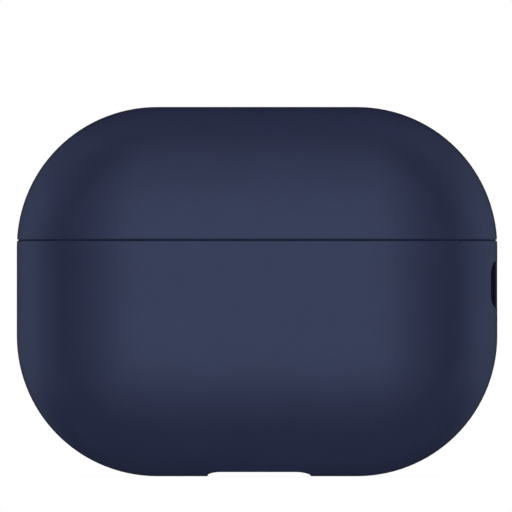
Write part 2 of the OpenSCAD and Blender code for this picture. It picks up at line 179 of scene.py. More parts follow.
def combine(obj, other, operation):
    """Exact boolean of two objects; the second one is used up."""
    for item in (obj, other):
        while len(item.data.materials) < SURFACES:
            item.data.materials.append(None)
    mod = obj.modifiers.new(operation, "BOOLEAN")
    mod.operation, mod.solver, mod.object = operation, "EXACT", other
    mod.material_mode = "INDEX"
    freeze(obj)
    bpy.data.objects.remove(other)
    return obj


# ---- The rounded body ------------------------------------------------------------------
def rim_section(inset):
    """(outward, depth) points from the front face round the rim to the back face."""
    shoulder = [
        ((SHOULDER_R - inset) * math.sin(TILT * i / SHOULDER_STEPS),
         SHOULDER_C - (SHOULDER_R - inset) * math.cos(TILT * i / SHOULDER_STEPS))
        for i in range(SHOULDER_STEPS)
    ]
    half_turn = math.pi / 2 - TILT
    rim = []
    for i in range(RIM_STEPS + 1):
        a = half_turn * (2 * i / RIM_STEPS - 1)
        rim.append((RIM_C + (RIM_R - inset) * math.cos(a), (RIM_R - inset) * math.sin(a)))
    return shoulder + rim + [(out, -depth) for out, depth in reversed(shoulder)]


def stations():
    """(centre x, centre z, direction x, direction z) once round the front view."""
    out = []
    corners = [(ARC_X, ARC_HIGH), (-ARC_X, ARC_HIGH), (-ARC_X, ARC_LOW), (ARC_X, ARC_LOW)]
    for turn, (x, z) in enumerate(corners):
        before = corners[turn - 1]
        steps = SHORT_STEPS if turn % 2 == 0 else LONG_STEPS
        a = math.pi / 2 * turn
        for i in range(steps):
            k = i / steps
            out.append((before[0] + (x - before[0]) * k, before[1] + (z - before[1]) * k,
                        math.cos(a), math.sin(a)))
        for i in range(CORNER_STEPS):
            b = a + math.pi / 2 * i / CORNER_STEPS
            out.append((x, z, math.cos(b), math.sin(b)))
    return out


def body_sheet(inset):
    """The whole rounded body at one inset, as a bmesh."""
    bm = bmesh.new()
    rows = [
        [bm.verts.new((cx + dx * u, y, cz + dz * u)) for u, y in rim_section(inset)]
        for cx, cz, dx, dz in stations()
    ]
    for here, after in zip(rows, rows[1:] + rows[:1]):
        for j in range(len(here) - 1):
            bm.faces.new((here[j], after[j], after[j + 1], here[j + 1]))
    for y in (inset - HALF_D, HALF_D - inset):
        flat = [
            [bm.verts.new((-ARC_X + 2 * ARC_X * i / LONG_STEPS, y,
                           ARC_LOW + (ARC_HIGH - ARC_LOW) * k / SHORT_STEPS))
             for k in range(SHORT_STEPS + 1)]
            for i in range(LONG_STEPS + 1)
        ]
        for here, after in zip(flat, flat[1:]):
            for k in range(SHORT_STEPS):
                bm.faces.new((here[k], after[k], after[k + 1], here[k + 1]))
    bmesh.ops.remove_doubles(bm, verts=bm.verts, dist=1e-5)
    bmesh.ops.recalc_face_normals(bm, faces=bm.faces)
    return bm


def body_split(p):
    """Distance from the rectangle of corner centres and the direction away from it."""
    dx = p.x - min(max(p.x, -ARC_X), ARC_X)
    dz = p.z - min(max(p.z, ARC_LOW), ARC_HIGH)
    u = math.hypot(dx, dz)
    return (u, dx / u, dz / u) if u > 1e-9 else (0.0, 0.0, 0.0)


def body_normal(p):
    u, dx, dz = body_split(p)
    a = math.atan2(u, abs(p.y) + SHOULDER_C)
    if a < TILT:
        out, depth = math.sin(a), math.copysign(math.cos(a), p.y)
    else:
        size = math.hypot(u - RIM_C, p.y)
        out, depth = (u - RIM_C) / size, p.y / size
    return Vector((out * dx, depth, out * dz))


def face_depth(x, z):
    """Half depth of the outer surface over a point of the front view."""
    u = body_split(Vector((x, 0, z)))[0]
    if u < SHOULDER_R * math.sin(TILT):
        return math.sqrt(SHOULDER_R**2 - u**2) - SHOULDER_C
    return math.sqrt(max(RIM_R**2 - (u - RIM_C) ** 2, 0.0))


def rim_reach(y):
    """How far the rim stands out from the corner centres at one depth."""
    return RIM_C + math.sqrt(RIM_R**2 - y**2)


# ---- Half shells -----------------------------------------------------------------------
def boundary(faces):
    """The one open edge loop of a set of faces, in order."""
    count = {}
    for f in faces:
        for a, b in zip(f, f[1:] + f[:1]):
            count[frozenset((a, b))] = count.get(frozenset((a, b)), 0) + 1
    near = {}
    for pair, uses in count.items():
        if uses == 1:
            a, b = pair
            near.setdefault(a, []).append(b)
            near.setdefault(b, []).append(a)
    start = min(near)
    loop, last = [start], None
    while True:
        step = [n for n in near[loop[-1]] if n != last]
        last = loop[-1]
        if step[0] == start or (len(loop) > 2 and start in step):
            return loop
        loop.append(step[0])


def add_cut_sheet(shape, inset, z, keep, kind):
    """Adds the part of a body sheet above (keep = 1) or below (keep = -1) a height."""
    bm = body_sheet(inset)
    geometry = bm.verts[:] + bm.edges[:] + bm.faces[:]
    bmesh.ops.bisect_plane(bm, geom=geometry, dist=1e-6, plane_co=(0, 0, z),
                           plane_no=(0, 0, keep), clear_inner=True)
    bm.verts.index_update()
    faces = [[v.index for v in f.verts] for f in bm.faces]
    first = shape.add([v.co.copy() for v in bm.verts], faces, kind)
    bm.free()
    return [first + i for i in boundary(faces)]


QUARTER = math.pi / 2


def rounded_rim(shape, loop, z, keep, roll, side, steps=6):
    """Rolls an open edge over to the height z. side is -1 to turn inwards and 1 to turn outwards.

    roll is the radius and the angle that the edge turns through.
    """
    radius, turn = roll
    base = [shape.points[i].copy() for i in loop]
    away = []
    for p in base:
        n = body_normal(p)
        away.append(Vector((n.x, n.y, 0)).normalized() * side)
    last = loop
    for k in range(1, steps + 1):
        a = turn * k / steps
        rise = radius * (math.sin(turn) - math.sin(a))
        shift = radius * (1 - math.cos(a))
        last_ring = shape.ring(
            Vector((p.x, p.y, z + keep * rise)) + w * shift for p, w in zip(base, away)
        )
        shape.bridge(last, last_ring)
        last = last_ring
    return last


def edge_loop(shape, inset, z):
    """Points of one inset body outline at one height, without faces."""
    probe = Shape()
    loop = add_cut_sheet(probe, inset, z, 1, EDGE)
    return shape.ring(probe.points[i] for i in loop)


def around_middle(p):
    return math.atan2(p.y, p.x)


def half_shell(name, keep, skin, wall, steps, rolls):
    """One half of a hollow body with a stepped edge.

    steps is the list of (inset, height) corners of the edge from the outer to the inner skin,
    and rolls say how the outermost and the innermost corner are rounded.
    """
    shape = Shape()
    low, high = steps[0][1], steps[-1][1]
    start, end = (keep * radius * math.sin(turn) for radius, turn in rolls)
    outer = add_cut_sheet(shape, skin, low + start, keep, OUTER)
    last = rounded_rim(shape, outer, low, keep, rolls[0], -1)
    for inset, z in steps[1:]:
        loop = edge_loop(shape, inset, z)
        shape.zip(last, loop, around_middle)
        last = loop
    inner = add_cut_sheet(shape, skin + wall, high + end, keep, INNER)
    inner = rounded_rim(shape, inner, high, keep, rolls[1], 1)
    shape.zip(last, inner, around_middle)
    return shape.object(name)


def shade(obj, soft_angle=math.radians(38)):
    """Exact normals on the body's own surfaces and averaged ones on edges and cuts."""
    mesh = obj.data
    points = [v.co / MM for v in mesh.vertices]
    around = {}
    for poly in mesh.polygons:
        for v in poly.vertices:
            around.setdefault(v, []).append(poly)
    soft = math.cos(soft_angle)
    exact = {}

    def normal_of(v, poly):
        if v not in exact:
            exact[v] = body_normal(points[v])
        outward = exact[v]
        if poly.material_index == OUTER:
            return outward
        if poly.material_index == INNER:
            return -outward
        touching = [q for q in around[v] if q.material_index in (OUTER, INNER)]
        for q in touching:
            own = outward if q.material_index == OUTER else -outward
            if own.dot(poly.normal) > soft:
                return own
        total = Vector()
        for q in around[v]:
            if q.normal.dot(poly.normal) > soft:
                total += q.normal * q.area
        return total.normalized() if total.length > 0 else poly.normal

    normals = []
    for poly in mesh.polygons:
        normals.extend(normal_of(v, poly) for v in poly.vertices)
    mesh.polygons.foreach_set("use_smooth", [True] * len(mesh.polygons))
    mesh.normals_split_custom_set(normals)
    mesh.polygons.foreach_set("material_index", [0] * len(mesh.polygons))
    mesh.update()


# ---- Openings with rounded mouths --------------------------------------------------------
def outline(width, height, radii, centre=(0, 0), steps=8, pitch=1.0):
    """Rounded rectangle as (point, outward normal) pairs; radii run from the upper right, leftwards."""
    signs = [(1, 1), (-1, 1), (-1, -1), (1, -1)]
    out = []
    for turn, ((sx, sy), r) in enumerate(zip(signs, radii)):
        cx = centre[0] + sx * (width / 2 - r)
        cy = centre[1] + sy * (height / 2 - r)
        for i in range(steps + 1):
            a = math.pi / 2 * (turn + i / steps)
            n = Vector((math.cos(a), math.sin(a)))
            out.append((Vector((cx, cy)) + n * r, n))
    dense = []
    for (p, n), (q, m) in zip(out, out[1:] + out[:1]):
        dense.append((p, n))
        gap = (q - p).length
        if (n - m).length < 1e-6 and gap > pitch:
            parts = math.ceil(gap / pitch)
            dense.extend((p.lerp(q, i / parts), n) for i in range(1, parts))
    return [pair for i, pair in enumerate(dense) if (pair[0] - dense[i - 1][0]).length > 1e-6]


def mouth_cutter(path, surface, place, sign, deep, radius, steps=6, lift=3.0):
    """Closed cutter through a wall whose outer end flares, so that the cut leaves a rounded lip.

    surface gives the wall's outer surface over a point of the path's plane, place turns that
    plane's point and a value into 3-D, and sign is the direction that points out of the wall.
    deep is where the cutter ends inside, and radius is the rounding of the lip.
    """
    shape = Shape()

    def ring(offset, depth, flat=None):
        spots = [p + n * offset for p, n in path]
        return shape.ring(
            place(q, flat if flat is not None else surface(q) - sign * depth) for q in spots
        )

    inner_end = last = ring(0, 0, deep)
    flare = [(0.0, radius)]
    for k in range(1, steps + 1):
        a = math.radians(90 - 80 * k / steps)
        flare.append((radius * (1 - math.sin(a)), radius * (1 - math.cos(a))))
    run = 2 * radius
    end = math.radians(10)
    flare.append((flare[-1][0] + run * math.cos(end), flare[-1][1] - run * math.sin(end)))
    flare.append((flare[-1][0], flare[-1][1] - lift))
    for offset, depth in flare:
        here = ring(offset, depth)
        shape.bridge(last, here)
        last = here
    shape.face(inner_end[::-1])
    shape.face(last)
    return shape.object("cutter")


def back_place(q, value):
    return (q.x, value, q.y)


def side_place(q, value):
    return (value, q.x, q.y)


def bottom_place(q, value):
    return (q.x, q.y, value)


# Openings of the cover: sizes in their own plane, corner radii and the rounding of their lips.
HINGE_WINDOW = (51.0, 6.4)
BUTTON_WINDOW_R = 4.5
PORT_WINDOW = (13.8, 7.0)
PORT_WINDOW_LEFT_R, PORT_WINDOW_RIGHT_R = 1.7, 2.0
PORT_WINDOW_SHIFT = 0.28
CORD_SLOT = (8.66, 6.1)
CORD_SLOT_R = 1.75
BACK_LIP = 0.3
SMALL_LIP = 0.12


def hinge_window_cutter():
    w, h = HINGE_WINDOW
    path = outline(w, h, [h / 2 - 0.01] * 4, (0, SPLIT), steps=12, pitch=1.5)
    return mouth_cutter(path, lambda q: face_depth(q.x, q.y), back_place, 1, HINGE_Y - 2.6, BACK_LIP)


def button_window_cutter():
    height = centre_of("setup_button").z
    r = BUTTON_WINDOW_R
    path = outline(2 * r, 2 * r, [r - 0.001] * 4, (0, height), steps=12)
    return mouth_cutter(path, lambda q: face_depth(q.x, q.y), back_place, 1, HALF_D - 3, BACK_LIP)


def port_window_cutter():
    radii = [PORT_WINDOW_RIGHT_R, PORT_WINDOW_LEFT_R, PORT_WINDOW_LEFT_R, PORT_WINDOW_RIGHT_R]
    path = outline(*PORT_WINDOW, radii, (PORT_WINDOW_SHIFT, 0))
    return mouth_cutter(path, lambda q: ARC_LOW - rim_reach(q.y), bottom_place, -1, 3.0, SMALL_LIP)


def cord_slot_cutter():
    middle = centre_of("lanyard_bar").z
    path = outline(*CORD_SLOT, [CORD_SLOT_R] * 4, (0, middle), pitch=0.6)
    return mouth_cutter(path, lambda q: ARC_X + rim_reach(q.x), side_place, 1, HALF_W - 6, SMALL_LIP)


# The seam: a low lip on the base leans back behind a skirt on the lid.
SKIRT = 0.12
SKIRT_PLAY = 0.03
LIP_H = 0.3
LIP_INSET = 0.09
LIP_SLANT = 0.37
# How the corners of the two edges are rounded: radius and angle.
BASE_ROLL = (0.07, QUARTER)
LID_ROLL = (0.45, math.radians(35))
INNER_ROLL = (0.08, QUARTER)


def cover_base():
    edge, top = SPLIT - COVER_GAP / 2, SPLIT + LIP_H
    steps = [(0, edge), (LIP_INSET, edge), (LIP_INSET + LIP_SLANT, top)]
    obj = half_shell("cover_base_shell", -1, 0, COVER_WALL, steps, (BASE_ROLL, INNER_ROLL))
    for cutter in (hinge_window_cutter, button_window_cutter, port_window_cutter, cord_slot_cutter):
        combine(obj, cutter(), "DIFFERENCE")
    shade(obj)
    return obj


def cover_lid():
    edge = SPLIT + COVER_GAP / 2
    roof = edge + LIP_H + SKIRT_PLAY
    steps = [(0, edge), (SKIRT, edge), (SKIRT, roof)]
    obj = half_shell("cover_lid_shell", 1, 0, COVER_WALL, steps, (LID_ROLL, INNER_ROLL))
    combine(obj, hinge_window_cutter(), "DIFFERENCE")
    shade(obj)
    return obj


# ---- Turned and swept pieces -------------------------------------------------------------
def arc(centre, radius, start, end, steps=8):
    """Points of an arc in a plane, angles in degrees."""
    turn = [math.radians(start + (end - start) * i / steps) for i in range(steps + 1)]
    return [(centre[0] + radius * math.cos(a), centre[1] + radius * math.sin(a)) for a in turn]


def turned(name, profile, place, sides=72):
    """Solid of revolution. profile is a closed list of (radius, height) and place gives the frame."""
    shape = Shape()
    rings = []
    for radius, height in profile:
        if radius < 1e-6:
            rings.append(shape.ring([place(Vector((0, 0, height)))]))
            continue
        turn = [2 * math.pi * i / sides for i in range(sides)]
        rings.append(shape.ring(
            place(Vector((radius * math.cos(a), radius * math.sin(a), height))) for a in turn
        ))
    for a, b in zip(rings, rings[1:] + rings[:1]):
        if len(a) == 1 and len(b) == 1:
            continue
        if len(a) == 1 or len(b) == 1:
            tip, ring = (a[0], b) if len(a) == 1 else (b[0], a)
            for i in range(sides):
                shape.face((tip, ring[i], ring[(i + 1) % sides]))
        else:
            shape.bridge(a, b)
    return smooth_by_angle(shape.object(name))


def smooth_by_angle(obj, degrees=35):
    """Smooth shading that keeps the edges sharper than the angle."""
    bm = bmesh.new()
    bm.from_mesh(obj.data)
    for face in bm.faces:
        face.smooth = True
    for edge in bm.edges:
        edge.smooth = len(edge.link_faces) == 2 and edge.calc_face_angle(0) < math.radians(degrees)
    bm.to_mesh(obj.data)
    bm.free()
    return obj


def lofted(name, rings):
    """Closed solid through rings of equal length, with flat ends."""
    shape = Shape()
    loops = [shape.ring(ring) for ring in rings]
    for a, b in zip(loops, loops[1:]):
        shape.bridge(a, b)
    shape.face(loops[0][::-1])
    shape.face(loops[-1])
    return smooth_by_angle(shape.object(name))


def tube(shape, path, radius, sides=8):
    """Round wire along an open path that lies in a plane of constant depth."""
    last = None
    for i, p in enumerate(path):
        ahead = (path[min(i + 1, len(path) - 1)] - path[max(i - 1, 0)]).normalized()
        side = ahead.cross(Vector((0, 1, 0))).normalized()
        turn = [2 * math.pi * k / sides for k in range(sides)]
        ring = shape.ring(p + (side * math.cos(a) + Vector((0, 1, 0)) * math.sin(a)) * radius for a in turn)
        if last:
            shape.bridge(last, ring)
        else:
            shape.face(ring[::-1])
        last = ring
    shape.face(last)


def softened(node, voxel, passes):
    """The shape of a CAD node with every edge rounded, as moulding leaves it."""
    obj = link(node + "_soft", NODES[node].data.copy())
    remesh = obj.modifiers.new("remesh", "REMESH")
    remesh.mode, remesh.voxel_size, remesh.use_smooth_shade = "VOXEL", voxel * MM, True
    ease = obj.modifiers.new("ease", "SMOOTH")
    ease.iterations, ease.factor = passes, 0.5
    return freeze(obj)


def rounded_edges(node, width, segments=2):
    """Small rounding on the edges of a CAD node that stays."""
    mod = NODES[node].modifiers.new("edges", "BEVEL")
    mod.width, mod.segments = width * MM, segments
    mod.limit_method, mod.angle_limit = "ANGLE", math.radians(50)


# ---- Case shells -------------------------------------------------------------------------
CASE_SKIN = 1.35
CASE_WALL = 1.2
CASE_GAP = 0.2
CASE_ROLLS = ((0.3, QUARTER), (0.15, QUARTER))
PORT = (9.1, 3.36)
BUTTON_BORE = 3.46
LAMP_HOLE = 0.95
RECESS_X, RECESS_Y, RECESS_Z = 28.6, 4.2, 2.85
RECESS_WALL, RECESS_BEHIND = 0.7, 0.9


def box_shape(name, low, high):
    shape = Shape()
    rings = [
        shape.ring([(low[0], low[1], z), (high[0], low[1], z), (high[0], high[1], z), (low[0], high[1], z)])
        for z in (low[2], high[2])
    ]
    shape.bridge(*rings)
    shape.face(rings[0][::-1])
    shape.face(rings[1])
    return shape.object(name)


def hinge_groove_cutter():
    half, radius = 20.2, 1.15
    turns = [2 * math.pi * i / 48 for i in range(48)]
    circle = [(HINGE_Y + radius * math.cos(a), SPLIT + radius * math.sin(a)) for a in turns]
    return lofted("cutter", [[(x, y, z) for y, z in circle] for x in (-half, half)])


def case_depth(q):
    return face_depth(q.x, q.y) - CASE_SKIN


def case_bottom(q):
    return ARC_LOW - rim_reach(q.y) + CASE_SKIN


def cord_recess(shell):
    """Thickens the wall behind the cord slot and sinks a channel into it."""
    middle = centre_of("lanyard_bar").z
    y, z = RECESS_Y + RECESS_WALL, RECESS_Z + RECESS_WALL
    block = box_shape("block", (RECESS_X - RECESS_WALL, -y, middle - z),
                      (RECESS_X + RECESS_BEHIND, y, middle + z))
    combine(shell, block, "UNION")
    hollow = box_shape("hollow", (RECESS_X, -RECESS_Y, middle - RECESS_Z),
                       (HALF_W, RECESS_Y, middle + RECESS_Z))
    combine(shell, hollow, "DIFFERENCE")


def case_port_cutter():
    path = outline(*PORT, [PORT[1] / 2 - 0.01] * 4)
    return mouth_cutter(path, case_bottom, bottom_place, -1, 6.0, 0.15)


def case_button_cutter():
    path = outline(2 * BUTTON_BORE, 2 * BUTTON_BORE, [BUTTON_BORE - 0.001] * 4,
                   (0, centre_of("setup_button").z), steps=12)
    return mouth_cutter(path, case_depth, back_place, 1, HALF_D - 4, 0.2)


def case_lamp_cutter():
    path = outline(2 * LAMP_HOLE, 2 * LAMP_HOLE, [LAMP_HOLE - 0.001] * 4,
                   (0, centre_of("status_light_pipe").z))
    return mouth_cutter(path, lambda q: -case_depth(q), back_place, -1, 4 - HALF_D, 0.08)


def case_base_shell():
    edge = SPLIT - CASE_GAP / 2
    obj = half_shell("case_base", -1, CASE_SKIN, CASE_WALL, [(CASE_SKIN, edge)], CASE_ROLLS)
    cord_recess(obj)
    for cutter in (hinge_groove_cutter, case_port_cutter, case_button_cutter, case_lamp_cutter):
        combine(obj, cutter(), "DIFFERENCE")
    shade(obj)
    return obj


def case_lid_shell():
    edge = SPLIT + CASE_GAP / 2
    obj = half_shell("case_lid", 1, CASE_SKIN, CASE_WALL, [(CASE_SKIN, edge)], CASE_ROLLS)
    combine(obj, hinge_groove_cutter(), "DIFFERENCE")
    leaf_low, leaf_high = mm_box("lid_hinge_leaf")
    play, leaf_t = 0.03, 0.5
    pocket = box_shape("pocket", (leaf_low.x - play, leaf_low.y - 1, SPLIT),
                       (leaf_high.x + play, leaf_low.y + leaf_t + play, leaf_high.z + play))
    combine(obj, pocket, "DIFFERENCE")
    shade(obj)
    return obj


# ---- Small outer pieces ------------------------------------------------------------------
# Spacing that gives the outlines of the bar and of its tongues the same number of points.
SAME_POINTS = 0.98


def lanyard_bar():
    """Bar that bridges the cord slot in the line of the cover, with a tongue at each end.

    A cross-section is half its width, how far out it reaches and its corner radius.
    """
    low, high = mm_box("lanyard_bar")
    middle = (low.z + high.z) / 2
    inner = RIM_R - COVER_WALL + 0.05
    half_slot, half_all = 3.1, (high.z - low.z) / 2
    tongue = (2.2, 10.3, 0.2)
    bar = (2.7, RIM_R - 0.02, 0.3)

    def section(z, half, outer, radius):
        path = outline(2 * half, outer - inner, [radius] * 4, (0, (outer + inner) / 2), 6, SAME_POINTS)
        return [(ARC_X + RIM_C + math.sqrt(q.y**2 - q.x**2), q.x, middle + z) for q, _ in path]

    places = [(-half_all, tongue), (-half_slot, tongue), (-half_slot, bar)]
    places += [(-z, sizes) for z, sizes in reversed(places)]
    return lofted("lanyard_bar_moulded", [section(z, *sizes) for z, sizes in places])


def setup_button():
    """Push button with a rolled rim and a shallow dish for a fingertip."""
    low, high = mm_box("setup_button")
    middle = centre_of("setup_button")
    rim, flange, stem = 3.4, (high.x - low.x) / 2, 1.0
    under, over, face = 8.7, 9.25, high.y
    dish, edge, steps = 0.16, 0.3, 12
    profile = [(0, low.y), (stem, low.y), (stem, under), (flange, under), (flange, over), (rim, over)]
    profile += arc((rim - edge, face - edge), edge, 0, 90)
    for k in range(steps - 1, -1, -1):
        part = k / steps
        profile.append(((rim - edge) * part, face - dish * (1 - part**2)))
    return turned("setup_button_dished", profile, lambda p: (middle.x + p.x, p.z, middle.z + p.y))


# ---- Earbuds -----------------------------------------------------------------------------
HEAD = Vector((15.5, 0, 31.2))
NOZZLE_TILT = math.radians(25)
VENT_TILT = math.radians(60)
SIDES = {"right": 1, "left": -1}


def earbud_frame(side, direction):
    """Frame whose +Z runs from the middle of one earbud head along a direction."""
    turn = Vector((0, 0, 1)).rotation_difference(direction).to_matrix()

    def place(p):
        q = HEAD + turn @ Vector(p)
        return Vector((side * q.x, q.y, q.z))

    return place


def nozzle_frame(side):
    return earbud_frame(side, Vector((-math.cos(NOZZLE_TILT), 0, -math.sin(NOZZLE_TILT))))


def vent_frame(side):
    return earbud_frame(side, Vector((math.sin(VENT_TILT), 0, math.cos(VENT_TILT))))


def ear_tip(name, side):
    """Silicone dome with a thin skirt, a rolled lip and an inner collar on the nozzle."""
    centre, outer, wall = 8.2, 5.4, 0.6
    lip = wall / 2
    mouth_r, mouth_roll, mouth = 1.8, 0.35, 12.97
    collar_r, collar_roll, collar_end = 2.52, 0.3, 8.6
    seat, hollow = 10.9, 11.4
    profile = arc((0, centre), outer, 3, 65, 20)
    profile += arc((mouth_r + mouth_roll, mouth), mouth_roll, 65, 180, 8)
    profile += [(mouth_r, seat), (collar_r, seat)]
    profile += arc((collar_r + collar_roll, collar_end), collar_roll, 180, 360, 8)
    profile += [(collar_r + 2 * collar_roll, hollow)]
    profile += arc((0, centre), outer - wall, 45, 3, 14)
    profile += arc((outer - lip, centre + 0.25), lip, 180, 360, 8)
    return turned(name, profile, nozzle_frame(side))


GRID_RIM = 0.3


def perforated(name, radius, low, high, place, pitch=0.34, bridge=0.36):
    """Round mesh insert: a honeycomb of holes inside a solid rim.

    Neighbouring cells share their walls, and the outermost walls are left open inside the rim.
    """
    shape = Shape()
    hexagon = [Vector((math.cos(math.pi / 3 * k), math.sin(math.pi / 3 * k))) for k in range(6)]
    cell = pitch / math.sqrt(3)
    rows = math.ceil(radius / pitch) + 1
    for row in range(-rows, rows + 1):
        for column in range(-rows, rows + 1):
            middle = Vector((row * pitch * math.sqrt(3) / 2, (column + (row % 2) / 2) * pitch))
            if middle.length > radius - 0.55 * pitch:
                continue
            hole = cell * (1 - bridge)
            rings = []
            for size, z in ((cell, low), (cell, high), (hole, high), (hole, low)):
                spots = [middle + h * size for h in hexagon]
                rings.append(shape.ring(place((q.x, q.y, z)) for q in spots))
            for a, b in zip(rings[1:], rings[2:] + rings[:1]):
                shape.bridge(a, b)
    return join_pieces(name, shape.object("cells"), rim_ring(radius, low, high, place))


def rim_ring(radius, low, high, place):
    inner = radius - GRID_RIM
    return turned("rim", [(inner, low), (radius, low), (radius, high), (inner, high)], place, 48)


PIN_PLAY = 0.1


def cradle():
    """Softened cradle, with the bores of the contact pins opened again at their true size."""
    obj = softened("cradle_insert", 0.3, 4)
    cutters = []
    for side in SIDES:
        low, high = mm_box(side + "_contact_pins")
        radius = (high.x - low.x) / 2
        profile = [(0, low.z), (radius + PIN_PLAY, low.z), (radius + PIN_PLAY, high.z + 1), (0, high.z + 1)]
        for y in (low.y + radius, high.y - radius):
            spot = Vector(((low.x + high.x) / 2, y, 0))
            cutters.append(turned("bore", profile, lambda p, spot=spot: spot + p, 32))
    return combine(obj, join_pieces("bores", *cutters), "DIFFERENCE")


def join_pieces(name, *parts):
    """One object out of several separate closed shapes."""
    bm = bmesh.new()
    for part in parts:
        bm.from_mesh(part.data)
        bpy.data.objects.remove(part)
    mesh = bpy.data.meshes.new(name)
    bm.to_mesh(mesh)
    bm.free()
    return link(name, mesh)


# ---- Port, coil and battery --------------------------------------------------------------
def port_shell():
    """Drawn metal shell of the port with a rolled mouth."""
    low, high = mm_box("port_connector_shell")
    w, t = high.x - low.x, high.y - low.y
    skin, roll = 0.3, 0.12

    def ring(inset, z):
        path = outline(w - 2 * inset, t - 2 * inset, [t / 2 - inset - 0.01] * 4, steps=8, pitch=20)
        return [(q.x, q.y, z) for q, _ in path]

    mouth = [(roll - roll * math.sin(a), low.z + roll - roll * math.cos(a))
             for a in (math.radians(90 - 15 * k) for k in range(7))]
    inside = [(skin - inset, z) for inset, z in reversed(mouth)]
    steps = [(0, high.z)] + mouth + inside + [(skin, high.z - skin)]
    return lofted("port_shell_drawn", [ring(inset, z) for inset, z in steps])


def port_contacts():
    """Two rows of gold pads on the tongue of the port."""
    low, high = mm_box("port_connector_tongue")
    count, pitch, width = 12, 0.5, 0.28
    pads = []
    for side in (-1, 1):
        for k in range(count):
            x = (k - (count - 1) / 2) * pitch
            near, far = sorted((side * 0.31, side * 0.36))
            pads.append(box_shape("pad", (x - width / 2, near, low.z + 0.35),
                                  (x + width / 2, far, low.z + 3.4)))
    return join_pieces("port_contact_pads", *pads)


def charging_coil():
    """Flat spiral of enamelled wire."""
    low, high = mm_box("charging_coil")
    middle = (low + high) / 2
    outer = (high.x - low.x) / 2
    inner, turns, per_turn, fill = 6.2, 13, 56, 0.96
    radius = (outer - inner) / turns / 2 * fill
    path = []
    for i in range(turns * per_turn + 1):
        a = 2 * math.pi * i / per_turn
        r = inner + radius + (outer - inner - 2 * radius) * i / (turns * per_turn)
        path.append(Vector((middle.x + r * math.cos(a), middle.y, middle.z + r * math.sin(a))))
    shape = Shape()
    tube(shape, path, radius)
    return smooth_by_angle(shape.object("charging_coil_wound"), 60)


def battery():
    """Soft pouch cell with full edges that draw in towards both ends."""
    low, high = mm_box("battery")
    size = high - low
    middle = (low + high) / 2
    rings = []
    steps, taper, corner = 10, 0.55, 1.4
    for k in range(steps + 1):
        a = math.pi * k / steps
        squeeze = taper * (1 - math.sin(a) ** 0.5)
        x = -size.x / 2 * math.cos(a) if 0 < k < steps else math.copysign(size.x / 2, k - 1)
        path = outline(size.y - 2 * squeeze, size.z - 2 * squeeze, [corner] * 4,
                       (middle.y, middle.z), pitch=20)
        rings.append([(middle.x + x, q.x, q.y) for q, _ in path])
    return lofted("battery_pouch", rings)


# ---- Materials -------------------------------------------------------------------------
class Look:
    """One procedural material, built round a Principled shader. Texture sizes are in millimetres."""

    def __init__(self, name):
        self.mat = bpy.data.materials.new(name)
        self.mat.use_nodes = True
        self.nodes, self.links = self.mat.node_tree.nodes, self.mat.node_tree.links
        self.bsdf = self.nodes["Principled BSDF"]
        where = self.nodes.new("ShaderNodeTexCoord")
        scale = self.nodes.new("ShaderNodeMapping")
        scale.inputs["Scale"].default_value = (1 / MM,) * 3
        self.links.new(where.outputs["Object"], scale.inputs["Vector"])
        self.place = scale.outputs["Vector"]

    def set(self, name, value):
        self.bsdf.inputs[name].default_value = value

    def node(self, kind, **values):
        made = self.nodes.new(kind)
        for key, value in values.items():
            made.inputs[key].default_value = value
        return made

    def noise(self, size, detail=2.0, stretch=None):
        made = self.node("ShaderNodeTexNoise", Scale=1 / size, Detail=detail)
        source = self.place
        if stretch:
            warp = self.nodes.new("ShaderNodeMapping")
            warp.inputs["Scale"].default_value = stretch
            self.links.new(source, warp.inputs["Vector"])
            source = warp.outputs["Vector"]
        self.links.new(source, made.inputs["Vector"])
        return made.outputs["Fac"]

    def ramp(self, factor, low, high):
        made = self.node("ShaderNodeMapRange")
        made.inputs["To Min"].default_value = low
        made.inputs["To Max"].default_value = high
        made.inputs["From Min"].default_value = 0.3
        made.inputs["From Max"].default_value = 0.7
        self.links.new(factor, made.inputs["Value"])
        return made.outputs["Result"]

    def colour(self, factor, low, high):
        made = self.nodes.new("ShaderNodeMix")
        made.data_type = "RGBA"
        made.inputs["A"].default_value = (*low, 1)
        made.inputs["B"].default_value = (*high, 1)
        self.links.new(self.ramp(factor, 0, 1), made.inputs["Factor"])
        self.links.new(made.outputs["Result"], self.bsdf.inputs["Base Color"])
        return self

    def rough(self, factor, low, high):
        self.links.new(self.ramp(factor, low, high), self.bsdf.inputs["Roughness"])
        return self

    def bump(self, factor, depth_um):
        made = self.node("ShaderNodeBump", Strength=1.0, Distance=depth_um * 1e-6)
        self.links.new(factor, made.inputs["Height"])
        self.links.new(made.outputs["Normal"], self.bsdf.inputs["Normal"])
        return self


def tint(colour, factor):
    return tuple(min(c * factor, 1.0) for c in colour)


def plastic(name, colour, rough, grain_mm, grain_um, specular=0.5):
    look = Look(name)
    look.set("Specular IOR Level", specular)
    cloud = look.noise(6.0)
    look.colour(cloud, tint(colour, 0.96), tint(colour, 1.04))
    look.rough(look.noise(2.5, 3.0), rough * 0.95, rough * 1.05)
    look.bump(look.noise(grain_mm, 1.0), grain_um)
    return look


NAVY = (0.0178, 0.0225, 0.0585)
SPEC_TINT = (0.705, 0.75, 0.855, 1.0)


def cover_look():
    """Satin navy plastic with a very fine moulded grain."""
    look = plastic("navy_satin_plastic", NAVY, 0.28, 0.09, 0.35, 0.62)
    look.set("Specular Tint", SPEC_TINT)
    return look


def metal(name, colour, rough, stretch=None, grain_um=0.6):
    look = Look(name)
    look.set("Metallic", 1.0)
    lines = look.noise(0.12, 2.0, stretch)
    look.colour(lines, tint(colour, 0.9), tint(colour, 1.08))
    look.rough(lines, rough * 0.85, rough * 1.15)
    look.bump(lines, grain_um)
    return look


def rubber(name, colour):
    look = plastic(name, colour, 0.55, 0.15, 2.0, 0.35)
    look.set("Sheen Weight", 0.15)
    return look


